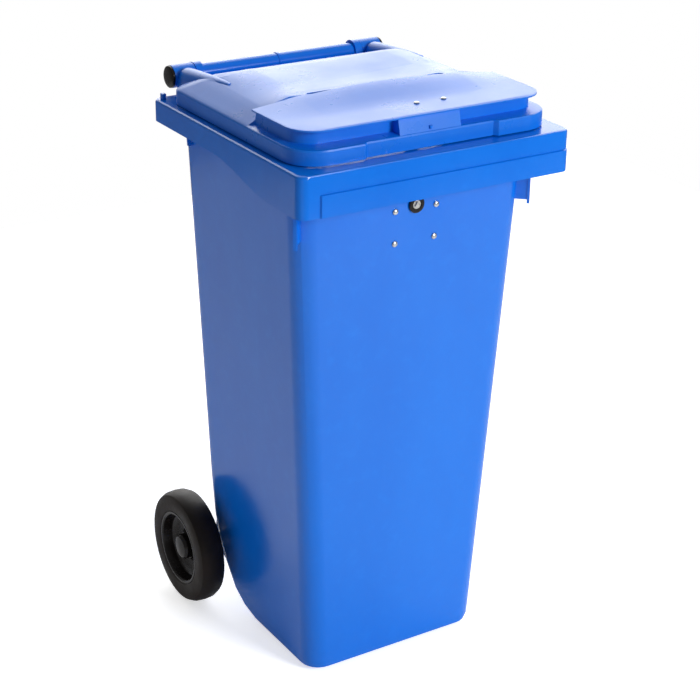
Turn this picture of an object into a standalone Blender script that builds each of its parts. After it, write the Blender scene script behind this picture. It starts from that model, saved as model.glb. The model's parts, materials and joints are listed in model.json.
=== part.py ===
"""Lockable 120 litre two-wheel bin, built as separate closed pieces.

Units are metres.  +X is the bin's right, -Y its front, +Z up, and the ground is z = 0.
The body tapers down from a deep rim, the lid hinges on two pins beside the rear handle,
and a triangular-key lock in the front wall holds a hook that hangs from the lid.
"""

import math

import bmesh
import bpy
from mathutils import Matrix, Vector

GAP = 0.0003
RUN = 0.0001

# Body of the container
BASE_Z = 0.007
WALL = 0.004
TOP_Z = 0.905
BASE_HALF_X = 0.165
BASE_FRONT_Y = -0.173
WALL_TOP_Z = 0.900
WALL_TOP_HALF_X = 0.211
WALL_TOP_FRONT_Y = -0.200
REAR_Y = 0.171
WALL_CORNER = 0.034
# (height, rear face y) of the undercut that makes room for the axle
REAR_UNDERCUT = ((0.007, 0.044), (0.012, 0.062), (0.020, 0.080), (0.038, 0.110),
                 (0.080, 0.140), (0.120, 0.159), (0.160, 0.168), (0.240, REAR_Y))

# Rim with its hanging skirt
RIM_HALF_X = 0.240
RIM_FRONT_Y = -0.260
RIM_REAR_Y = 0.205
RIM_CORNER = 0.016
SKIRT_WALL = 0.004
SKIRT_FRONT_Z = 0.840
SKIRT_REAR_Z = 0.870
SKIRT_CURVE_Y = (0.000, -0.176)
BAND_PROUD = 0.003
BAND_LEFT_X = -0.206
BAND_TOP_Z = 0.8745

# Hinge and handle
HINGE_Y = 0.224
HINGE_Z = 0.929
EYE_RADIUS = 0.0185
EYE_X = (0.1582, 0.196)
PIN_RADIUS = 0.0060
PIN_HEAD_RADIUS = 0.0180
HANDLE_RADIUS = 0.0145
CHEEK_X = (0.144, 0.1572)
CHEEK_RADIUS = 0.0192

# Wheels
AXLE_Y = 0.163
AXLE_Z = 0.100
AXLE_RADIUS = 0.010
AXLE_END = 0.227
WHEEL_RADIUS = 0.100
TYRE_BORE = 0.0663

# Lid
LID_HALF_X = 0.226
LID_FRONT_Y = -0.238
LID_REAR_Y = 0.172
LID_BOTTOM_Z = 0.907
LID_SHELL = 0.003
LIP_END_Y = -0.082
RECESS_HALF_X = 0.113
RECESS_DEPTH = 0.0060
SLOT_HALF_X = 0.127
SLOT_Y = (-0.0875, -0.0752)
BLOCK_HALF_X = 0.054

# Lock
LOCK_Z = 0.807
CASE_HALF_X = 0.048
CASE_Z = (0.737, 0.832)
CASE_BACK_Y = -0.170
SCREWS = ((-0.037, 0.801), (0.037, 0.801), (-0.036, 0.749), (0.036, 0.749))
SCREW_RADIUS = 0.002
SPINDLE_RADIUS = 0.007
CAM_Y = (-0.1535, -0.1495)
RIVET_X = (0.0095, 0.0580)
RIVET_Y = -0.177
RIVET_RADIUS = 0.0024
LID_DECK_Z = 0.9565

MATERIALS = {
    "blue_hdpe": ((0.021, 0.20, 0.80), 0.34, 0.0),
    "blue_hdpe_lid": ((0.023, 0.21, 0.82), 0.30, 0.0),
    "black_plastic": ((0.012, 0.012, 0.013), 0.30, 0.0),
    "tyre_rubber": ((0.022, 0.018, 0.016), 0.62, 0.0),
    "zinc_steel": ((0.62, 0.62, 0.61), 0.28, 1.0),
    "axle_steel": ((0.50, 0.50, 0.50), 0.35, 1.0),
}


def clear_scene():
    """Empty the startup file."""
    for obj in list(bpy.data.objects):
        bpy.data.objects.remove(obj, do_unlink=True)


def node_material(node, kind):
    """One material for one node, from the shared list of finishes."""
    colour, roughness, metallic = MATERIALS[kind]
    material = bpy.data.materials.new("mat_" + node)
    material.use_nodes = True
    shader = material.node_tree.nodes["Principled BSDF"]
    shader.inputs["Base Color"].default_value = (*colour, 1.0)
    shader.inputs["Roughness"].default_value = roughness
    shader.inputs["Metallic"].default_value = metallic
    return material


def new_object(name, bm):
    """Turn a bmesh into a linked object with outward normals."""
    bmesh.ops.recalc_face_normals(bm, faces=bm.faces)
    mesh = bpy.data.meshes.new(name)
    bm.to_mesh(mesh)
    bm.free()
    obj = bpy.data.objects.new(name, mesh)
    bpy.context.scene.collection.objects.link(obj)
    return obj


def finish(obj, kind, origin=(0.0, 0.0, 0.0), angle=35.0):
    """Material, smooth shading, and the origin moved to the joint axis."""
    mesh = obj.data
    mesh.materials.clear()
    mesh.materials.append(node_material(obj.name, kind))
    mesh.transform(Matrix.Translation(-Vector(origin)))
    obj.location = origin
    mesh.shade_smooth()
    mesh.set_sharp_from_angle(angle=math.radians(angle))
    return obj


def combine(target, tools, operation):
    """Boolean each tool into the target and drop the tools."""
    for tool in tools:
        modifier = target.modifiers.new("cut", "BOOLEAN")
        modifier.operation = operation
        modifier.solver = "EXACT"
        modifier.object = tool
        graph = bpy.context.evaluated_depsgraph_get()
        mesh = bpy.data.meshes.new_from_object(target.evaluated_get(graph))
        target.modifiers.clear()
        old = target.data
        target.data = mesh
        bpy.data.meshes.remove(old)
        bpy.data.objects.remove(tool, do_unlink=True)
    return target


def prism(name, points, axis, low, high):
    """Extrude a closed 2-D outline along X, Y or Z."""
    bm = bmesh.new()
    rings = []
    for level in (low, high):
        if axis == "X":
            ring = [bm.verts.new((level, a, b)) for a, b in points]
        elif axis == "Y":
            ring = [bm.verts.new((a, level, b)) for a, b in points]
        else:
            ring = [bm.verts.new((a, b, level)) for a, b in points]
        rings.append(ring)
    count = len(points)
    for i in range(count):
        j = (i + 1) % count
        bm.faces.new((rings[0][i], rings[0][j], rings[1][j], rings[1][i]))
    bm.faces.new(rings[0])
    bm.faces.new(rings[1])
    return new_object(name, bm)


def box(name, x, y, z, bevel=0.0):
    """Axis-aligned block from three (low, high) pairs, with optional rounded edges."""
    bm = bmesh.new()
    bmesh.ops.create_cube(bm, size=1.0)
    size = Vector((x[1] - x[0], y[1] - y[0], z[1] - z[0]))
    centre = Vector((x[0] + x[1], y[0] + y[1], z[0] + z[1])) / 2
    for vert in bm.verts:
        vert.co = Vector(a * b for a, b in zip(vert.co, size)) + centre
    if bevel:
        bmesh.ops.bevel(bm, geom=bm.edges[:], offset=bevel, segments=2, affect="EDGES", profile=0.5)
    return new_object(name, bm)


def circle(radius, centre, count, start=0.0, stop=2 * math.pi, closed=True):
    """Points of a circle, or of an arc that keeps both ends when not closed."""
    steps = count if closed else count - 1
    angles = [start + (stop - start) * i / steps for i in range(count)]
    return [(centre[0] + radius * math.cos(a), centre[1] + radius * math.sin(a)) for a in angles]


def lathe(name, profile, axis, centre, segments=32):
    """Revolve a closed (distance along axis, radius) profile; radius 0 points share one vertex."""
    bm = bmesh.new()
    rows = []
    for along, radius in profile:
        count = 1 if radius == 0.0 else segments
        row = []
        for i in range(count):
            angle = 2 * math.pi * i / segments
            a = radius * math.cos(angle)
            b = radius * math.sin(angle)
            point = {"X": (along, a, b), "Y": (a, along, b), "Z": (a, b, along)}[axis]
            row.append(bm.verts.new(Vector(point) + Vector(centre)))
        rows.append(row)
    for first, second in zip(rows, rows[1:] + rows[:1]):
        if len(first) == 1 and len(second) == 1:
            continue
        for i in range(segments):
            j = (i + 1) % segments
            ring = [first[i % len(first)], first[j % len(first)],
                    second[j % len(second)], second[i % len(second)]]
            corners = list(dict.fromkeys(ring))
            bm.faces.new(corners)
    return new_object(name, bm)


def smoothstep(low, high, value):
    """0 at low, 1 at high, smooth between; low may be the larger."""
    t = min(1.0, max(0.0, (value - low) / (high - low)))
    return t * t * (3 - 2 * t)


def outline(half_x, front, rear, radius_front, radius_rear, side_rows, front_columns, arc=6):
    """Rounded rectangle whose points keep the same order and count for every size.

    It starts at the left end of the front edge and runs to the right, then back, then
    left along the rear edge, then forward.  side_rows are y values on the straight
    sides, front to rear, and front_columns are x values, left to right.
    """
    points = []
    points.append((-(half_x - radius_front), front))
    points += [(x, front) for x in front_columns]
    centre = (half_x - radius_front, front + radius_front)
    points += circle(radius_front, centre, arc + 1, -math.pi / 2, 0.0, closed=False)
    points += [(half_x, y) for y in side_rows]
    centre = (half_x - radius_rear, rear - radius_rear)
    points += circle(radius_rear, centre, arc + 1, 0.0, math.pi / 2, closed=False)
    points += [(-x, rear) for x in front_columns]
    centre = (-(half_x - radius_rear), rear - radius_rear)
    points += circle(radius_rear, centre, arc + 1, math.pi / 2, math.pi, closed=False)
    points += [(-half_x, y) for y in reversed(side_rows)]
    centre = (-(half_x - radius_front), front + radius_front)
    points += circle(radius_front, centre, arc + 1, math.pi, 1.5 * math.pi, closed=False)[:-1]
    return points


def spread(low, high, parts):
    """Evenly spaced values strictly between low and high."""
    return [low + (high - low) * i / parts for i in range(1, parts)]


# ---------------------------------------------------------------- container

def wall_fraction(z):
    """0 at the base, 1 under the rim."""
    return (z - BASE_Z) / (WALL_TOP_Z - BASE_Z)


def wall_front(z):
    """Outer face of the front wall at one height."""
    return BASE_FRONT_Y + (WALL_TOP_FRONT_Y - BASE_FRONT_Y) * wall_fraction(z)


def wall_side(z):
    """Outer half width of the container at one height."""
    return BASE_HALF_X + (WALL_TOP_HALF_X - BASE_HALF_X) * wall_fraction(z)


def wall_rear(z):
    """Outer face of the rear wall at one height, with the axle undercut."""
    for (z0, y0), (z1, y1) in zip(REAR_UNDERCUT, REAR_UNDERCUT[1:]):
        if z <= z1:
            return y0 + (y1 - y0) * max(0.0, (z - z0) / (z1 - z0))
    return REAR_Y


def wall_ring(z, inset=0.0):
    """Outline of the tapered wall at one height, moved inwards by inset."""
    half_x = wall_side(z) - inset
    front = wall_front(z) + inset
    rear = wall_rear(z) - inset
    corner = WALL_CORNER - inset * 0.6
    rows = spread(front + corner, rear - corner, 12)
    columns = spread(-(half_x - corner), half_x - corner, 5)
    return [(x, y, z) for x, y in outline(half_x, front, rear, corner, corner, rows, columns)]


def skirt_bottom(y):
    """Height of the skirt's lower edge: deep at the front, shallow from the middle back."""
    blend = smoothstep(SKIRT_CURVE_Y[0], SKIRT_CURVE_Y[1], y)
    return SKIRT_REAR_Z + (SKIRT_FRONT_Z - SKIRT_REAR_Z) * blend


def rim_ring(inset, height, proud=0.0):
    """Outline of the rim; height is a number, or None for the skirt's lower edge.

    proud pushes the front edge out between the band's left end and the right corner.
    """
    half_x = RIM_HALF_X - inset
    front = RIM_FRONT_Y + inset
    rear = RIM_REAR_Y - inset
    corner = RIM_CORNER - inset * 0.6
    rows = spread(front + corner, rear - corner, 12)
    columns = [BAND_LEFT_X - 0.001, BAND_LEFT_X + 0.001, -0.060, 0.090]
    ring = []
    for x, y in outline(half_x, front, rear, corner, corner, rows, columns):
        z = skirt_bottom(y) if height is None else height
        facing = max(0.0, min(1.0, (front + corner - y) / corner))
        shift = proud * facing if x > BAND_LEFT_X else 0.0
        ring.append((x, y - shift, z))
    return ring


def loft(name, rings):
    """Closed shell through rings of equal length, capped at both ends."""
    bm = bmesh.new()
    rows = [[bm.verts.new(point) for point in ring] for ring in rings]
    count = len(rows[0])
    for lower, upper in zip(rows, rows[1:]):
        for i in range(count):
            j = (i + 1) % count
            bm.faces.new((lower[i], lower[j], upper[j], upper[i]))
    bm.faces.new(rows[0])
    bm.faces.new(rows[-1])
    return new_object(name, bm)


def container_shell():
    """Wall, rim, skirt and floor in one loft from the base up and back down inside."""
    outer_levels = (0.020, 0.038, 0.080, 0.120, 0.160, 0.240, 0.460, 0.700)
    inner_levels = (0.700, 0.460, 0.240, 0.160, 0.120, 0.080, 0.042, 0.026)
    rings = [wall_ring(BASE_Z, 0.008), wall_ring(0.0095, 0.0025)]
    rings += [wall_ring(z) for z in outer_levels]
    rings.append(wall_ring(WALL_TOP_Z))
    rings.append(rim_ring(SKIRT_WALL, WALL_TOP_Z))
    rings.append(rim_ring(SKIRT_WALL, None))
    rings.append(rim_ring(0.0, None, BAND_PROUD))
    rings.append(rim_ring(0.0, BAND_TOP_Z - 0.001, BAND_PROUD))
    rings.append(rim_ring(0.0, BAND_TOP_Z))
    rings.append(rim_ring(0.0, 0.901))
    rings.append(rim_ring(0.0012, 0.9038))
    rings.append(rim_ring(0.004, TOP_Z))
    rings.append([(x, y, TOP_Z) for x, y, z in wall_ring(WALL_TOP_Z, WALL - 0.002)])
    rings.append(wall_ring(WALL_TOP_Z - 0.002, WALL))
    rings += [wall_ring(z, WALL) for z in inner_levels]
    rings.append([(x, y, 0.014) for x, y, z in wall_ring(0.016, 0.016)])
    return loft("container", rings)


def corner_gussets():
    """Diagonal plate with a thick outer edge at each front corner, small one at each rear corner."""
    parts = []
    for side in (-1, 1):
        near = Vector((side * 0.1955, -0.1850))
        far = Vector((side * 0.2130, -0.2010))
        along = (far - near).normalized()
        across = Vector((-along.y, along.x))
        for start, stop, half, low in ((near, far, 0.0014, 0.779), (far - along * 0.004, far, 0.0026, 0.773)):
            corners = (start + across * half, start - across * half, stop - across * half, stop + across * half)
            parts.append(prism("gusset", [tuple(c) for c in corners], "Z", low, 0.902))
        rear = [(side * 0.206, 0.902), (side * 0.2045, 0.842), (side * 0.216, 0.842), (side * 0.220, 0.902)]
        parts.append(prism("gusset", rear, "Y", 0.128, 0.132))
    return parts


def comb_ribs():
    """Vertical ribs behind the front skirt that guide a lifting comb."""
    parts = []
    for index in range(5):
        x = -0.150 + 0.075 * index
        points = [(-0.258, 0.852), (-0.258, 0.902), (-0.197, 0.902), (-0.197, 0.872)]
        parts.append(prism("comb", points, "X", x - 0.0015, x + 0.0015))
    return parts


def hinge_cheeks():
    """Handle tube and the two brackets that carry it behind the rim."""
    tube = [(-0.150, 0.0), (-0.150, HANDLE_RADIUS), (-0.003, HANDLE_RADIUS),
            (-0.002, HANDLE_RADIUS + 0.0012), (0.002, HANDLE_RADIUS + 0.0012),
            (0.003, HANDLE_RADIUS), (0.150, HANDLE_RADIUS), (0.150, 0.0)]
    parts = [lathe("tube", tube, "X", (0, HINGE_Y, HINGE_Z))]
    for side in (-1, 1):
        arc = circle(CHEEK_RADIUS, (HINGE_Y, HINGE_Z), 15, math.radians(-50), math.radians(175), False)
        points = [(0.2035, 0.872), (0.2085, 0.880)] + arc + [(0.196, 0.904), (0.200, 0.880)]
        low, high = sorted((side * CHEEK_X[0], side * CHEEK_X[1]))
        parts.append(prism("cheek", points, "X", low, high))
    return parts


def axle_lugs():
    """Three webs behind the undercut that hold the axle."""
    parts = []
    for low, high in ((-0.158, -0.138), (-0.012, 0.012), (0.138, 0.158)):
        arc = circle(0.019, (AXLE_Y, AXLE_Z), 12, math.radians(-100), math.radians(70), False)
        points = [(wall_rear(0.066) - 0.002, 0.066)] + arc + [(wall_rear(0.150) - 0.002, 0.150)]
        parts.append(prism("lug", points, "X", low, high))
    return parts


def feet():
    """Four flat pads under the base."""
    parts = []
    for side in (-1, 1):
        for y in ((-0.125, -0.085), (0.000, 0.034)):
            low, high = sorted((side * 0.112, side * 0.150))
            parts.append(box("foot", (low, high), y, (0.0, BASE_Z + 0.003), bevel=0.003))
    return parts


def rim_nibs():
    """Small posts on the rear of the rim, outside the lid."""
    parts = []
    for side in (-1, 1):
        low, high = sorted((side * 0.224, side * 0.231))
        parts.append(box("nib", (low, high), (0.184, 0.194), (TOP_Z - 0.003, 0.9145), bevel=0.0015))
    return parts


def build_container():
    """Container with every moulded detail and bore."""
    shell = container_shell()
    combine(shell, corner_gussets() + comb_ribs(), "UNION")
    combine(shell, hinge_cheeks() + axle_lugs() + feet() + rim_nibs(), "UNION")
    cutters = []
    radius = AXLE_RADIUS + RUN
    cutters.append(lathe("bore", [(-0.2, 0.0), (-0.2, radius), (0.2, radius), (0.2, 0.0)],
                         "X", (0, AXLE_Y, AXLE_Z), 24))
    for side in (-1, 1):
        radius = PIN_RADIUS + RUN
        ends = (side * 0.114, side * 0.19)
        cutters.append(lathe("bore", [(ends[0], 0.0), (ends[0], radius), (ends[1], radius), (ends[1], 0.0)],
                             "X", (0, HINGE_Y, HINGE_Z), 24))
    holes = [(0.0, LOCK_Z, SPINDLE_RADIUS + 0.0045)]
    holes += [(x, z, SCREW_RADIUS + GAP) for x, z in SCREWS]
    for x, z, radius in holes:
        cutters.append(lathe("hole", [(-0.215, 0.0), (-0.215, radius), (-0.180, radius), (-0.180, 0.0)],
                             "Y", (x, 0, z), 20))
    combine(shell, cutters, "DIFFERENCE")
    return finish(shell, "blue_hdpe", angle=32.0)


# ---------------------------------------------------------------- lid

LID_ROWS = [-0.172, -0.158, -0.140, -0.120, -0.104, -0.092, -0.0845, -0.0805, -0.066, -0.055,
            -0.030, 0.000, 0.030, 0.055, 0.080, 0.100]
LID_COLUMNS = [-0.145, -0.118, -0.112, -0.084, -0.054, -0.027, 0.0,
               0.027, 0.054, 0.084, 0.112, 0.118, 0.145]
ARC = 6


def lid_outline(half_x, front, rear, radius_front, radius_rear=0.030, recess=0.0):
    """Lid outline at one level; the middle of the front edge can sit back."""
    flat = outline(half_x, front, rear, radius_front, radius_rear, LID_ROWS, LID_COLUMNS, ARC)
    return [(x, y + recess) if abs(x) < RECESS_HALF_X and y < front + 0.001 else (x, y) for x, y in flat]


def in_lip_zone(point):
    """True for outline points that carry the overhanging front lip."""
    return point[1] < LIP_END_Y


def lid_level(front_shape, front_z, rear_shape, rear_z):
    """One ring: the front zone follows one shape and height, the rest another."""
    key = lid_outline(LID_HALF_X, LID_FRONT_Y, LID_REAR_Y, 0.052)
    front_ring = lid_outline(*front_shape)
    rear_ring = lid_outline(*rear_shape)
    ring = []
    for guide, a, b in zip(key, front_ring, rear_ring):
        if in_lip_zone(guide):
            ring.append((a[0], a[1], front_z))
        else:
            ring.append((b[0], b[1], rear_z))
    return ring


def inset_shape(inset, recess=RECESS_DEPTH):
    """Skirt outline moved inwards."""
    return (LID_HALF_X - inset, LID_FRONT_Y + inset, LID_REAR_Y - inset,
            0.052 - inset * 0.5, 0.034 - inset * 0.2, recess)


def deck_height(x, y):
    """Top surface of the lid: level lip, rising front slope, crowned slot edge, dished top."""
    crest = 0.9650 + 0.0065 * (1 - min(1.0, abs(x) / 0.135) ** 2)
    dish = 0.9650 - 0.0035 * smoothstep(-0.080, 0.0, y) + 0.0030 * smoothstep(0.05, 0.150, abs(x)) * (y > 0)
    slope = LID_DECK_Z + 0.0005 + (crest - LID_DECK_Z - 0.0005) * smoothstep(-0.166, -0.086, y) ** 0.85
    top = slope if y < -0.082 else dish
    blend_rear = smoothstep(-0.082, -0.040, y)
    edge_z = LID_DECK_Z + (0.9515 - LID_DECK_Z) * blend_rear
    reach = 0.200 + (0.184 - 0.200) * blend_rear
    side = smoothstep(reach, reach - 0.040, abs(x))
    back = smoothstep(0.132, 0.085, y)
    return edge_z + (top - edge_z) * side * back


def deck_grid(bm, ring, drop):
    """Fill a ring with rows of vertices that follow the deck height."""
    columns = len(LID_COLUMNS)
    front_count = columns + 2
    rows_count = len(LID_ROWS) + 2 * (ARC + 1)
    total = len(ring)
    right = [ring[front_count - 1 + j] for j in range(rows_count)]
    left = [ring[(-j) % total] for j in range(rows_count)]
    front = [ring[i] for i in range(front_count)]
    rear_start = front_count - 1 + rows_count - 1
    rear = [ring[rear_start + i] for i in range(front_count)]
    rear.reverse()
    limit = right[0].co.x
    fractions = [-1.0] + [x / limit for x in LID_COLUMNS] + [1.0]
    grid = []
    for j in range(rows_count):
        if j == 0:
            grid.append(front)
        elif j == rows_count - 1:
            grid.append(rear)
        else:
            a = left[j].co
            b = right[j].co
            row = [left[j]]
            for f in fractions[1:-1]:
                x = b.x * f
                row.append(bm.verts.new((x, (a.y + b.y) / 2, deck_height(x, b.y) - drop)))
            row.append(right[j])
            grid.append(row)
    for near, far in zip(grid, grid[1:]):
        for i in range(len(near) - 1):
            bm.faces.new((near[i], near[i + 1], far[i + 1], far[i]))


def lid_shell():
    """Skirt, ledge, recessed wall, overhanging lip and deck, with a hollow underside."""
    plain = (0.2125, -0.2105, 0.168, 0.038, 0.034, 0.0)
    wall_top = (0.2115, -0.2095, 0.166, 0.037, 0.034, 0.0)
    lip = (0.2185, -0.2265, 0.166, 0.045, 0.034, 0.0)
    deck_edge = (0.2160, -0.2240, 0.150, 0.043, 0.026, 0.0)
    outer = [
        lid_level(inset_shape(0.0), LID_BOTTOM_Z, inset_shape(0.0), LID_BOTTOM_Z),
        lid_level(inset_shape(0.0), 0.9275, inset_shape(0.0), 0.9275),
        lid_level(inset_shape(0.0010), 0.9297, inset_shape(0.0010), 0.9297),
        lid_level(inset_shape(0.0030), 0.9307, inset_shape(0.0035), 0.9317),
        lid_level(plain, 0.9320, inset_shape(0.0100), 0.9352),
        lid_level(wall_top, 0.9530, inset_shape(0.0180), 0.9395),
        lid_level(lip, 0.9534, inset_shape(0.0260), 0.9440),
        lid_level(lip, 0.9558, inset_shape(0.0340, 0.0), 0.9480),
        lid_level(deck_edge, LID_DECK_Z, inset_shape(0.0420, 0.0), 0.9515),
    ]
    inner_wall = (0.2085, -0.2065, 0.165, 0.034, 0.030, 0.0)
    inner_top = (0.2030, -0.1990, 0.150, 0.026, 0.026, 0.0)
    inner = [
        lid_level(inset_shape(LID_SHELL), LID_BOTTOM_Z, inset_shape(LID_SHELL), LID_BOTTOM_Z),
        lid_level(inset_shape(LID_SHELL), 0.9270, inset_shape(LID_SHELL), 0.9270),
        lid_level(inner_wall, 0.9288, inset_shape(0.0085), 0.9300),
        lid_level(inner_wall, 0.9495, inset_shape(0.0250), 0.9395),
        lid_level(inner_top, LID_DECK_Z - LID_SHELL, inset_shape(0.0430, 0.0), 0.9485),
    ]
    bm = bmesh.new()
    outer_rows = [[bm.verts.new(point) for point in ring] for ring in outer]
    inner_rows = [[bm.verts.new(point) for point in ring] for ring in inner]
    strips = list(zip(outer_rows, outer_rows[1:])) + list(zip(inner_rows, inner_rows[1:]))
    strips.append((outer_rows[0], inner_rows[0]))
    for lower, upper in strips:
        for i in range(len(lower)):
            j = (i + 1) % len(lower)
            bm.faces.new((lower[i], lower[j], upper[j], upper[i]))
    deck_grid(bm, outer_rows[-1], 0.0)
    deck_grid(bm, inner_rows[-1], LID_SHELL)
    return new_object("lid", bm)


def arm_ridge(x):
    """Tapering round ridge from the hinge eye forward into the deck."""
    stations = ((0.2070, 0.0090, 0.9420), (0.2020, 0.0150, 0.9462), (0.1880, 0.0178, 0.9480),
                (0.1500, 0.0160, 0.9510), (0.1100, 0.0122, 0.9540), (0.0800, 0.0084, 0.9556),
                (0.0580, 0.0045, 0.9552))
    rings = []
    for y, radius, top in stations:
        flat = circle(radius, (x, top - radius), 24)
        rings.append([(a, y, b) for a, b in flat])
    return loft("arm", rings)


def lid_arms():
    """Hinge eyes, the half-round arms that run forward from them, and the webs below."""
    parts = []
    middle = (EYE_X[0] + EYE_X[1]) / 2
    for side in (-1, 1):
        low, high = sorted((side * EYE_X[0], side * EYE_X[1]))
        eye = [(low, 0.0), (low, EYE_RADIUS), (high, EYE_RADIUS), (high, 0.0)]
        parts.append(lathe("eye", eye, "X", (0, HINGE_Y, HINGE_Z), 32))
        parts.append(arm_ridge(side * middle))
        web = [(0.150, 0.911), (0.203, 0.911), (0.218, 0.920), (0.212, 0.931), (0.150, 0.936)]
        low, high = sorted((side * 0.163, side * 0.1925))
        parts.append(prism("web", web, "X", low, high))
    return parts


def build_lid():
    """Lid with hinge arms, centre block, paper slot and rivet holes."""
    lid = lid_shell()
    combine(lid, lid_arms(), "UNION")
    block_face = [(-0.2306, 0.9275), (-0.2238, 0.9540), (-0.2080, 0.9540), (-0.2080, 0.9275)]
    block = prism("block", block_face, "X", -BLOCK_HALF_X, BLOCK_HALF_X)
    rib = box("rib", (-0.0022, 0.0022), (-0.2313, -0.2220), (0.9330, 0.9385), bevel=0.0006)
    combine(lid, [block, rib], "UNION")
    slot_points = [(-SLOT_HALF_X, SLOT_Y[0] + 0.004), (-SLOT_HALF_X + 0.010, SLOT_Y[0]),
                   (SLOT_HALF_X - 0.010, SLOT_Y[0]), (SLOT_HALF_X, SLOT_Y[0] + 0.004),
                   (SLOT_HALF_X - 0.008, SLOT_Y[1]), (-SLOT_HALF_X + 0.008, SLOT_Y[1])]
    cutters = [prism("slot", slot_points, "Z", 0.940, 0.990)]
    for side in (-1, 1):
        radius = PIN_RADIUS + RUN
        ends = (side * 0.150, side * 0.21)
        cutters.append(lathe("bore", [(ends[0], 0.0), (ends[0], radius), (ends[1], radius), (ends[1], 0.0)],
                             "X", (0, HINGE_Y, HINGE_Z), 24))
    for x in RIVET_X:
        radius = RIVET_RADIUS + GAP
        cutters.append(lathe("hole", [(0.945, 0.0), (0.945, radius), (0.965, radius), (0.965, 0.0)],
                             "Z", (x, RIVET_Y, 0), 16))
    combine(lid, cutters, "DIFFERENCE")
    return finish(lid, "blue_hdpe_lid", origin=(0, HINGE_Y, HINGE_Z), angle=30.0)


# ---------------------------------------------------------------- hinge pins and running gear

def build_hinge_pin(side, node):
    """Black plug with a shallow domed head on the outside of the lid eye."""
    inner = side * 0.118
    face = side * (EYE_X[1] + GAP)
    profile = [(inner, 0.0), (inner, PIN_RADIUS - 0.001), (inner + side * 0.002, PIN_RADIUS),
               (face, PIN_RADIUS), (face, PIN_HEAD_RADIUS), (face + side * 0.0035, PIN_HEAD_RADIUS),
               (face + side * 0.0052, PIN_HEAD_RADIUS - 0.0025), (face + side * 0.0060, 0.006),
               (face + side * 0.0060, 0.0)]
    pin = lathe(node, profile, "X", (0, HINGE_Y, HINGE_Z), 32)
    return finish(pin, "black_plastic", origin=(side * 0.16, HINGE_Y, HINGE_Z))


def build_axle():
    """Plain steel rod with chamfered ends."""
    profile = [(-AXLE_END, 0.0), (-AXLE_END, 0.0085), (-AXLE_END + 0.0015, AXLE_RADIUS),
               (AXLE_END - 0.0015, AXLE_RADIUS), (AXLE_END, 0.0085), (AXLE_END, 0.0)]
    return finish(lathe("axle", profile, "X", (0, AXLE_Y, AXLE_Z), 24), "axle_steel",
                  origin=(0, AXLE_Y, AXLE_Z))


def build_tyre(side, node):
    """Solid rubber tyre with flat walls and bevelled shoulders."""
    half = [(0.1955, TYRE_BORE), (0.1935, 0.070), (0.1930, 0.088), (0.1950, 0.0945), (0.2040, 0.0990),
            (0.2165, WHEEL_RADIUS), (0.2280, 0.0990), (0.2370, 0.0945), (0.2395, 0.088),
            (0.2400, 0.080), (0.2390, 0.070), (0.2375, TYRE_BORE)]
    profile = [(side * s, r) for s, r in half]
    tyre = lathe(node, profile, "X", (0, AXLE_Y, AXLE_Z), 48)
    return finish(tyre, "tyre_rubber", origin=(side * 0.2165, AXLE_Y, AXLE_Z), angle=40.0)


def build_hub(side, node):
    """Dished plastic hub with a central boss and a raised outer ring."""
    edge = TYRE_BORE - GAP
    half = [(0.1945, AXLE_RADIUS + RUN), (0.1945, 0.022), (0.2040, 0.024), (0.2080, 0.030),
            (0.2090, 0.056), (0.2000, 0.0590), (0.1975, 0.0605), (0.1975, edge), (0.2372, edge),
            (0.2378, 0.0650), (0.2378, 0.0620), (0.2360, 0.0600), (0.2200, 0.0560), (0.2150, 0.046),
            (0.2135, 0.030), (0.2150, 0.0245), (0.2205, 0.0240), (0.2205, AXLE_RADIUS + RUN)]
    profile = [(side * s, r) for s, r in half]
    hub = lathe(node, profile, "X", (0, AXLE_Y, AXLE_Z), 32)
    return finish(hub, "black_plastic", origin=(side * 0.2165, AXLE_Y, AXLE_Z))


def build_axle_washer(side, node):
    """Push-on washer that keeps the wheel on the axle."""
    half = [(0.2208, AXLE_RADIUS + GAP), (0.2208, 0.0180), (0.2222, 0.0180), (0.2222, AXLE_RADIUS + GAP)]
    profile = [(side * s, r) for s, r in half]
    washer = lathe(node, profile, "X", (0, AXLE_Y, AXLE_Z), 20)
    return finish(washer, "zinc_steel", origin=(side * 0.2215, AXLE_Y, AXLE_Z))


def build_hub_cap(side, node):
    """Domed cap over the axle end."""
    half = [(0.2208, 0.0190), (0.2208, 0.0225), (0.2290, 0.0222), (0.2335, 0.0190), (0.2360, 0.0120),
            (0.2368, 0.0), (0.2290, 0.0), (0.2290, 0.0190)]
    profile = [(side * s, r) for s, r in half]
    cap = lathe(node, profile, "X", (0, AXLE_Y, AXLE_Z), 32)
    return finish(cap, "black_plastic", origin=(side * 0.2290, AXLE_Y, AXLE_Z))


# ---------------------------------------------------------------- lock

def build_lock_case():
    """Lock housing whose front follows the slope of the wall, bored for spindle and screws."""
    clearance = WALL + GAP + 0.0002
    low, high = CASE_Z
    points = [(wall_front(low) + clearance, low), (CASE_BACK_Y - 0.003, low), (CASE_BACK_Y, low + 0.003),
              (CASE_BACK_Y, high - 0.003), (CASE_BACK_Y - 0.003, high), (wall_front(high) + clearance, high)]
    case = prism("lock_case", points, "X", -CASE_HALF_X, CASE_HALF_X)
    cutters = []
    holes = [(0.0, LOCK_Z, SPINDLE_RADIUS + RUN)]
    holes += [(x, z, SCREW_RADIUS + GAP) for x, z in SCREWS]
    for x, z, radius in holes:
        cutters.append(lathe("hole", [(-0.205, 0.0), (-0.205, radius), (-0.16, radius), (-0.16, 0.0)],
                             "Y", (x, 0, z), 20))
    combine(case, cutters, "DIFFERENCE")
    return finish(case, "black_plastic", origin=(0, CASE_BACK_Y, LOCK_Z))


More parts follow.
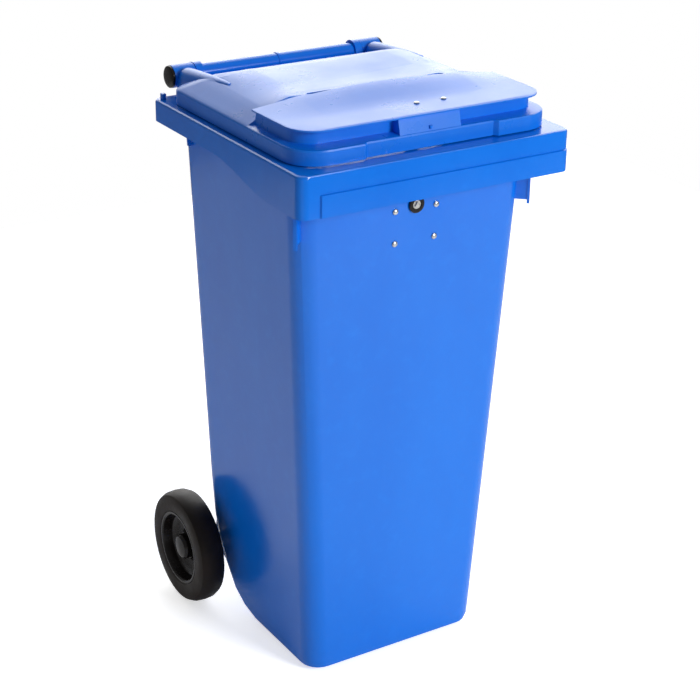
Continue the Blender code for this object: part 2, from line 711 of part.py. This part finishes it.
def build_lock_bezel():
    """Round black collar through the wall around the spindle."""
    bore = SPINDLE_RADIUS + RUN
    face = wall_front(LOCK_Z) - 0.0008
    back = wall_front(LOCK_Z) + WALL - 0.0006
    profile = [(back, bore), (face - 0.0028, bore), (face - 0.0034, bore + 0.001), (face - 0.0034, 0.0120),
               (face - 0.0024, 0.0135), (face, 0.0135), (face, 0.0112), (back, 0.0112)]
    return finish(lathe("lock_bezel", profile, "Y", (0, 0, LOCK_Z), 32), "black_plastic",
                  origin=(0, face, LOCK_Z))


def build_lock_spindle():
    """Round spindle with a three-sided key stud at the front."""
    face = wall_front(LOCK_Z) - 0.0030
    back = -0.1465
    profile = [(face, 0.0), (face, SPINDLE_RADIUS), (CAM_Y[0] - GAP, SPINDLE_RADIUS),
               (CAM_Y[0] - GAP, 0.004), (back, 0.004), (back, 0.0)]
    spindle = lathe("lock_spindle", profile, "Y", (0, 0, LOCK_Z), 24)
    triangle = circle(0.0052, (0.0, LOCK_Z), 3, math.pi / 2, math.pi / 2 + 2 * math.pi)
    stud = prism("stud", triangle, "Y", face - 0.0022, face + 0.001)
    combine(spindle, [stud], "UNION")
    return finish(spindle, "zinc_steel", origin=(0, face, LOCK_Z))


def build_lock_cam():
    """Flat tongue on the rear end of the spindle, pointing up while unlocked."""
    arc = circle(0.0105, (0.0, LOCK_Z), 12, math.pi, 2 * math.pi, False)
    points = arc + [(0.0060, LOCK_Z + 0.038), (0.0040, LOCK_Z + 0.040),
                    (-0.0040, LOCK_Z + 0.040), (-0.0060, LOCK_Z + 0.038)]
    cam = prism("lock_cam", points, "Y", CAM_Y[0], CAM_Y[1])
    hole = lathe("hole", [(-0.16, 0.0), (-0.16, 0.0043), (-0.14, 0.0043), (-0.14, 0.0)],
                 "Y", (0, 0, LOCK_Z), 16)
    combine(cam, [hole], "DIFFERENCE")
    return finish(cam, "zinc_steel", origin=(0, CAM_Y[0], LOCK_Z))


def build_lock_screw(index, x, z):
    """Dome-head screw through the wall and the lock case."""
    face = wall_front(z) - 0.0005
    profile = [(face, SCREW_RADIUS), (face, 0.0050), (face - 0.0014, 0.0047), (face - 0.0026, 0.0030),
               (face - 0.0030, 0.0), (-0.1658, 0.0), (-0.1658, SCREW_RADIUS - 0.0004),
               (-0.1664, SCREW_RADIUS)]
    screw = lathe("lock_screw_%d" % index, profile, "Y", (x, 0, z), 16)
    return finish(screw, "zinc_steel", origin=(x, face, z))


def build_lock_nut(index, x, z):
    """Hexagon nut behind the lock case."""
    low = CASE_BACK_Y + GAP
    nut = prism("lock_nut_%d" % index, circle(0.0040, (x, z), 6), "Y", low, low + 0.0032)
    radius = SCREW_RADIUS + GAP
    hole = lathe("hole", [(-0.18, 0.0), (-0.18, radius), (-0.16, radius), (-0.16, 0.0)], "Y", (x, 0, z), 16)
    combine(nut, [hole], "DIFFERENCE")
    return finish(nut, "zinc_steel", origin=(x, low, z))


def build_striker():
    """Bent steel hook: flange under the lid, hanging leg, and the foot the cam closes over."""
    top = LID_DECK_Z - LID_SHELL - 0.0006
    flange = box("lid_striker", (-0.004, 0.072), (-0.193, -0.140), (top - 0.0025, top), bevel=0.0005)
    leg = box("leg", (0.014, 0.040), (-0.1430, -0.1400), (0.7890, top - 0.0005), bevel=0.0004)
    foot = box("foot", (0.014, 0.031), (-0.1548, -0.1405), (0.7890, 0.7925), bevel=0.0004)
    combine(flange, [leg, foot], "UNION")
    radius = RIVET_RADIUS + GAP
    holes = []
    for x in RIVET_X:
        profile = [(0.94, 0.0), (0.94, radius), (0.96, radius), (0.96, 0.0)]
        holes.append(lathe("hole", profile, "Z", (x, RIVET_Y, 0), 16))
    combine(flange, holes, "DIFFERENCE")
    return finish(flange, "zinc_steel", origin=(0, HINGE_Y, HINGE_Z))


def build_rivet(x, node):
    """Dome-head rivet through the lid and the striker flange."""
    low = LID_DECK_Z - LID_SHELL - 0.0006 - 0.0025 - GAP
    high = deck_height(x, RIVET_Y) + 0.0004
    profile = [(low - 0.0016, 0.0), (low - 0.0016, 0.0034), (low, 0.0040), (low, RIVET_RADIUS),
               (high, RIVET_RADIUS), (high, 0.0048), (high + 0.0012, 0.0043), (high + 0.0021, 0.0026),
               (high + 0.0024, 0.0)]
    rivet = lathe(node, profile, "Z", (x, RIVET_Y, 0), 16)
    return finish(rivet, "zinc_steel", origin=(0, HINGE_Y, HINGE_Z))


def main():
    """Build every node."""
    clear_scene()
    build_container()
    build_lid()
    build_axle()
    for side, word in ((-1, "left"), (1, "right")):
        build_hinge_pin(side, "hinge_pin_" + word)
        build_tyre(side, "tyre_" + word)
        build_hub(side, "wheel_hub_" + word)
        build_axle_washer(side, "axle_washer_" + word)
        build_hub_cap(side, "hub_cap_" + word)
    build_lock_case()
    build_lock_bezel()
    build_lock_spindle()
    build_lock_cam()
    for index, (x, z) in enumerate(SCREWS, start=1):
        build_lock_screw(index, x, z)
        build_lock_nut(index, x, z)
    build_striker()
    for x, word in zip(RIVET_X, ("left", "right")):
        build_rivet(x, "lid_rivet_" + word)


main()
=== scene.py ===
"""Looks of the lockable two-wheel bin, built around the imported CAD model.

Every CAD node gets a finished skin: the same shape with its edges rounded and its faces
smoothed, in a procedural material.  Units are metres, the front faces -Y, +Z is up.
"""

import json
import math

import bmesh
import bpy
from mathutils import Matrix, Vector

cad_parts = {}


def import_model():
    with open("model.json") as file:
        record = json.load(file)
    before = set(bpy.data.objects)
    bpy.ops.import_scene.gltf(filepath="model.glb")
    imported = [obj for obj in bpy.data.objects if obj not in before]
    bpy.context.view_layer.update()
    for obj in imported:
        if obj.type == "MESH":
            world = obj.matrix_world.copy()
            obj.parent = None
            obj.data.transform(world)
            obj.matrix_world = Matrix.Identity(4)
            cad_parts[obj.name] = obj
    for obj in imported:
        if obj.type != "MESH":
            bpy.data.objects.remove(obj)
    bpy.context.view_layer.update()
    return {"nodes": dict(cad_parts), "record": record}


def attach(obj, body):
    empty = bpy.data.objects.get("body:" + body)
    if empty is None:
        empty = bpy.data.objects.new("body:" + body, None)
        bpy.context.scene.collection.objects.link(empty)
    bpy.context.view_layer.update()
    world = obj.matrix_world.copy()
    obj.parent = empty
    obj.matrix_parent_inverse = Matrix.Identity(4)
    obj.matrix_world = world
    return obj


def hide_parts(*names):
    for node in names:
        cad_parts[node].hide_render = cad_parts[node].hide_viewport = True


# Camera: place in metres, axes, lens in millimetres, shift as a part of the frame
CAMERA_PLACE = (-1.4218, -2.2673, 1.6814)
CAMERA_RIGHT = (0.84793, -0.52989, 0.01485)
CAMERA_UP = (0.20257, 0.34979, 0.91467)
CAMERA_LENS = 90.50
SENSOR_WIDTH = 36.0
CAMERA_SHIFT = (-0.0034, -0.0071)

# Colours, linear
BLUE = (0.001, 0.182, 0.790)
BLUE_DEEP = (0.001, 0.152, 0.715)
BLUE_PALE = (0.004, 0.220, 0.860)
BLACK = (0.010, 0.008, 0.008)
RUBBER = (0.010, 0.006, 0.004)
RUBBER_DUSTY = (0.024, 0.015, 0.011)
ZINC = (0.70, 0.70, 0.68)
ZINC_DULL = (0.46, 0.46, 0.45)

# Soft key light in front of the bin
KEY_PLACE = (1.2, -4.0, 2.2)
KEY_TARGET = (0.0, 0.0, 0.5)
KEY_SIZE = 1.1
KEY_POWER = 135.0

# Brightness of the surroundings, in general and towards the bright part behind and above
WORLD_FRONT = 0.24
WORLD_BEHIND = 3.3
BRIGHT_SKY = (0.50, 0.76, 0.40)

# Cosine to the middle of the bright part where it starts, and where it is full
SKY_START = 0.70
SKY_FULL = 0.96
WHITE = (1.0, 1.0, 1.0, 1.0)

# Half width of the floor, and its glow in other rays and in the camera's own
FLOOR_REACH = 2.1
FLOOR_COLOUR = (0.92, 0.92, 0.92, 1.0)
FLOOR_GLOW = 0.05
FLOOR_GLOW_SEEN = 0.62

# Mesh clean-up: weld distance, then the angles that join faces and that mark an edge as sharp
MERGE = 0.00001
FLAT_ANGLE = math.radians(0.4)
JOIN_FACE_ANGLE = math.radians(6)
JOIN_SHAPE_ANGLE = math.radians(40)
SHARP_ANGLE = math.radians(32)

# Width of the rounded edges of each node's skin, by the first word of the node's name
EDGE_ROUND = {"container": 0.0009, "lid": 0.0007, "tyre": 0.0008, "wheel": 0.0006, "hub": 0.0006,
              "hinge": 0.0007, "axle": 0.0004, "lock": 0.0003}
EDGE_ROUND_SIDES = 2


def link(tree, output, socket):
    """Wire one node's output into another's input."""
    tree.links.new(output, socket)


def noise(tree, coords, scale, detail=4.0, roughness=0.55, stretch=None):
    """Noise in object space, optionally stretched along an axis."""
    node = tree.nodes.new("ShaderNodeTexNoise")
    node.inputs["Scale"].default_value = scale
    node.inputs["Detail"].default_value = detail
    node.inputs["Roughness"].default_value = roughness
    if stretch:
        mapping = tree.nodes.new("ShaderNodeMapping")
        mapping.inputs["Scale"].default_value = stretch
        link(tree, coords, mapping.inputs["Vector"])
        link(tree, mapping.outputs["Vector"], node.inputs["Vector"])
    else:
        link(tree, coords, node.inputs["Vector"])
    return node.outputs["Fac"]


def ramp(tree, value, low, high, start=0.0, stop=1.0):
    """Map a value range to another range."""
    node = tree.nodes.new("ShaderNodeMapRange")
    node.inputs["From Min"].default_value = low
    node.inputs["From Max"].default_value = high
    node.inputs["To Min"].default_value = start
    node.inputs["To Max"].default_value = stop
    link(tree, value, node.inputs["Value"])
    return node.outputs["Result"]


def mix_colour(tree, factor, first, second):
    """Blend two colours; each may be a socket or an RGB triple."""
    node = tree.nodes.new("ShaderNodeMix")
    node.data_type = "RGBA"
    link(tree, factor, node.inputs["Factor"])
    for name, value in (("A", first), ("B", second)):
        socket = next(s for s in node.inputs if s.name == name and s.type == "RGBA")
        if isinstance(value, tuple):
            socket.default_value = (*value, 1.0)
        else:
            link(tree, value, socket)
    return next(s for s in node.outputs if s.type == "RGBA")


def bump(tree, height, strength, distance, below=None):
    """Bump node, stacked on another one when given."""
    node = tree.nodes.new("ShaderNodeBump")
    node.inputs["Strength"].default_value = strength
    node.inputs["Distance"].default_value = distance
    link(tree, height, node.inputs["Height"])
    if below:
        link(tree, below, node.inputs["Normal"])
    return node.outputs["Normal"]


def blank_material(name):
    """Principled material with object coordinates."""
    material = bpy.data.materials.new(name)
    material.use_nodes = True
    tree = material.node_tree
    shader = tree.nodes["Principled BSDF"]
    coords = tree.nodes.new("ShaderNodeTexCoord").outputs["Object"]
    return material, tree, shader, coords


def plastic_material(name, rough_low, rough_high):
    """Moulded polyethylene: faint flow marks, orange peel, and fine handling scratches."""
    material, tree, shader, coords = blank_material(name)
    flow = noise(tree, coords, 3.2, 5.0, 0.6, stretch=(1.0, 1.0, 0.35))
    cloud = mix_colour(tree, ramp(tree, flow, 0.32, 0.70), BLUE_DEEP, BLUE)
    mottle = noise(tree, coords, 38.0, 4.0, 0.65)
    tinted = mix_colour(tree, ramp(tree, mottle, 0.52, 0.86, 0.0, 0.30), cloud, BLUE_PALE)
    scratch = noise(tree, coords, 60.0, 3.0, 0.7, stretch=(1.0, 1.0, 14.0))
    marks = ramp(tree, scratch, 0.66, 0.74, 0.0, 0.22)
    link(tree, mix_colour(tree, marks, tinted, BLUE_PALE), shader.inputs["Base Color"])
    wear = noise(tree, coords, 9.0, 6.0, 0.6)
    link(tree, ramp(tree, wear, 0.30, 0.72, rough_low, rough_high), shader.inputs["Roughness"])
    shader.inputs["IOR"].default_value = 1.52
    shader.inputs["Specular IOR Level"].default_value = 0.42
    peel = noise(tree, coords, 420.0, 2.0, 0.5)
    grain = noise(tree, coords, 1900.0, 2.0, 0.5)
    first = bump(tree, peel, 0.10, 0.0006)
    second = bump(tree, grain, 0.06, 0.0003, first)
    link(tree, second, shader.inputs["Normal"])
    return material


def black_material(name):
    """Glossy black moulding with dust in random patches."""
    material, tree, shader, coords = blank_material(name)
    dust = noise(tree, coords, 55.0, 5.0, 0.65)
    link(tree, mix_colour(tree, ramp(tree, dust, 0.55, 0.85, 0.0, 0.5), BLACK, RUBBER_DUSTY),
         shader.inputs["Base Color"])
    link(tree, ramp(tree, dust, 0.35, 0.75, 0.16, 0.34), shader.inputs["Roughness"])
    shader.inputs["IOR"].default_value = 1.50
    shader.inputs["Specular IOR Level"].default_value = 0.30
    peel = noise(tree, coords, 700.0, 2.0, 0.5)
    link(tree, bump(tree, peel, 0.12, 0.0004), shader.inputs["Normal"])
    return material


def rubber_material(name):
    """Solid tyre rubber, brown-black, with a dusty bloom and a fine grain."""
    material, tree, shader, coords = blank_material(name)
    bloom = noise(tree, coords, 26.0, 6.0, 0.6)
    link(tree, mix_colour(tree, ramp(tree, bloom, 0.42, 0.80, 0.0, 0.75), RUBBER, RUBBER_DUSTY),
         shader.inputs["Base Color"])
    link(tree, ramp(tree, bloom, 0.30, 0.75, 0.42, 0.66), shader.inputs["Roughness"])
    shader.inputs["Specular IOR Level"].default_value = 0.22
    grain = noise(tree, coords, 1300.0, 3.0, 0.6)
    skin_wave = noise(tree, coords, 160.0, 3.0, 0.5)
    link(tree, bump(tree, grain, 0.30, 0.0004, bump(tree, skin_wave, 0.20, 0.0008)),
         shader.inputs["Normal"])
    return material


def metal_material(name, stretch):
    """Zinc plate with drawn streaks and duller patches."""
    material, tree, shader, coords = blank_material(name)
    shader.inputs["Metallic"].default_value = 1.0
    patch = noise(tree, coords, 120.0, 4.0, 0.6)
    link(tree, mix_colour(tree, ramp(tree, patch, 0.40, 0.75), ZINC, ZINC_DULL),
         shader.inputs["Base Color"])
    streak = noise(tree, coords, 500.0, 3.0, 0.6, stretch=stretch)
    link(tree, ramp(tree, streak, 0.30, 0.70, 0.20, 0.42), shader.inputs["Roughness"])
    link(tree, bump(tree, streak, 0.15, 0.0002), shader.inputs["Normal"])
    return material


def edge_width(node):
    """Rounded edge width for a node."""
    return EDGE_ROUND[node.split("_")[0]]


def skin(frame, node, body, material):
    """Welded, edge-rounded, smooth copy of a CAD node that stands for it."""
    source = frame["nodes"][node]
    bm = bmesh.new()
    bm.from_mesh(source.data)
    bmesh.ops.remove_doubles(bm, verts=bm.verts, dist=MERGE)
    if node == "lid":
        bmesh.ops.join_triangles(bm, faces=bm.faces, angle_face_threshold=JOIN_FACE_ANGLE,
                                 angle_shape_threshold=JOIN_SHAPE_ANGLE)
    else:
        bmesh.ops.dissolve_limit(bm, angle_limit=FLAT_ANGLE, verts=bm.verts, edges=bm.edges)
    mesh = bpy.data.meshes.new(node + "_skin")
    bm.to_mesh(mesh)
    bm.free()
    mesh.materials.clear()
    mesh.materials.append(material)
    mesh.shade_smooth()
    mesh.set_sharp_from_angle(angle=SHARP_ANGLE)
    piece = bpy.data.objects.new(node + "_skin", mesh)
    bpy.context.scene.collection.objects.link(piece)
    round_edges = piece.modifiers.new("round", "BEVEL")
    round_edges.width = edge_width(node)
    round_edges.segments = EDGE_ROUND_SIDES
    round_edges.limit_method = "ANGLE"
    round_edges.angle_limit = SHARP_ANGLE
    even = piece.modifiers.new("even_shading", "WEIGHTED_NORMAL")
    even.mode = "FACE_AREA"
    even.keep_sharp = True
    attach(piece, body)
    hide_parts(node)
    return piece


def dress_nodes(frame):
    """Skin every node in the finish of its material slot, riding on its body."""
    materials = {
        "blue_hdpe": plastic_material("moulded_blue_body", 0.13, 0.22),
        "blue_hdpe_lid": plastic_material("moulded_blue_lid", 0.24, 0.36),
        "black_plastic": black_material("black_moulding"),
        "tyre_rubber": rubber_material("tyre_rubber"),
        "zinc_steel": metal_material("zinc_plate", (1.0, 1.0, 6.0)),
        "axle_steel": metal_material("axle_rod", (0.05, 1.0, 1.0)),
    }
    slots = {part["node"]: part["material_slot"] for part in frame["record"]["subparts"]}
    for body, members in frame["record"]["behaviour"]["bodies"].items():
        for node in members:
            skin(frame, node, body, materials[slots[node]])


def build_camera():
    """Camera at the fitted viewing angle."""
    data = bpy.data.cameras.new("camera")
    data.lens = CAMERA_LENS
    data.sensor_width = SENSOR_WIDTH
    data.shift_x, data.shift_y = CAMERA_SHIFT
    camera = bpy.data.objects.new("camera", data)
    bpy.context.scene.collection.objects.link(camera)
    right = Vector(CAMERA_RIGHT).normalized()
    up = Vector(CAMERA_UP).normalized()
    back = right.cross(up)
    turn = Matrix((right, up, back)).transposed().to_4x4()
    camera.matrix_world = Matrix.Translation(CAMERA_PLACE) @ turn
    bpy.context.scene.camera = camera


def key_light():
    """Square soft light aimed at the bin."""
    data = bpy.data.lights.new("key", "AREA")
    data.size = KEY_SIZE
    data.energy = KEY_POWER
    light = bpy.data.objects.new("key", data)
    bpy.context.scene.collection.objects.link(light)
    light.location = KEY_PLACE
    aim = Vector(KEY_TARGET) - Vector(KEY_PLACE)
    light.rotation_euler = aim.to_track_quat("-Z", "Y").to_euler()


def build_stage():
    """Pale floor, white surroundings and one soft key light."""
    bm = bmesh.new()
    bmesh.ops.create_grid(bm, x_segments=8, y_segments=8, size=FLOOR_REACH)
    mesh = bpy.data.meshes.new("floor")
    bm.to_mesh(mesh)
    bm.free()
    floor = bpy.data.objects.new("floor", mesh)
    bpy.context.scene.collection.objects.link(floor)
    material = bpy.data.materials.new("pale_floor")
    material.use_nodes = True
    shader = material.node_tree.nodes["Principled BSDF"]
    shader.inputs["Base Color"].default_value = FLOOR_COLOUR
    shader.inputs["Roughness"].default_value = 0.9
    shader.inputs["Specular IOR Level"].default_value = 0.1
    shader.inputs["Emission Color"].default_value = WHITE
    path = material.node_tree.nodes.new("ShaderNodeLightPath")
    glow = ramp(material.node_tree, path.outputs["Is Camera Ray"], 0.0, 1.0, FLOOR_GLOW,
                FLOOR_GLOW_SEEN)
    link(material.node_tree, glow, shader.inputs["Emission Strength"])
    mesh.materials.append(material)
    build_world()
    bpy.context.scene.view_settings.view_transform = "Standard"
    key_light()


def build_world():
    """White surroundings: brightest behind and above the bin, white wherever the camera looks."""
    world = bpy.data.worlds.new("studio")
    world.use_nodes = True
    tree = world.node_tree
    background = tree.nodes["Background"]
    background.inputs["Color"].default_value = WHITE
    direction = tree.nodes.new("ShaderNodeTexCoord").outputs["Generated"]
    aim = tree.nodes.new("ShaderNodeVectorMath")
    aim.operation = "DOT_PRODUCT"
    aim.inputs[1].default_value = BRIGHT_SKY
    link(tree, direction, aim.inputs[0])
    behind = ramp(tree, aim.outputs["Value"], SKY_START, SKY_FULL, WORLD_FRONT, WORLD_BEHIND)
    path = tree.nodes.new("ShaderNodeLightPath")
    seen = tree.nodes.new("ShaderNodeMix")
    seen.data_type = "FLOAT"
    link(tree, path.outputs["Is Camera Ray"], seen.inputs["Factor"])
    sockets = [socket for socket in seen.inputs if socket.type == "VALUE" and socket.name in "AB"]
    link(tree, behind, sockets[0])
    sockets[1].default_value = 1.0
    result = next(socket for socket in seen.outputs if socket.type == "VALUE")
    link(tree, result, background.inputs["Strength"])
    bpy.context.scene.world = world


def main():
    """Load the frame, dress it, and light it."""
    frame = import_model()
    build_camera()
    build_stage()
    dress_nodes(frame)


main()
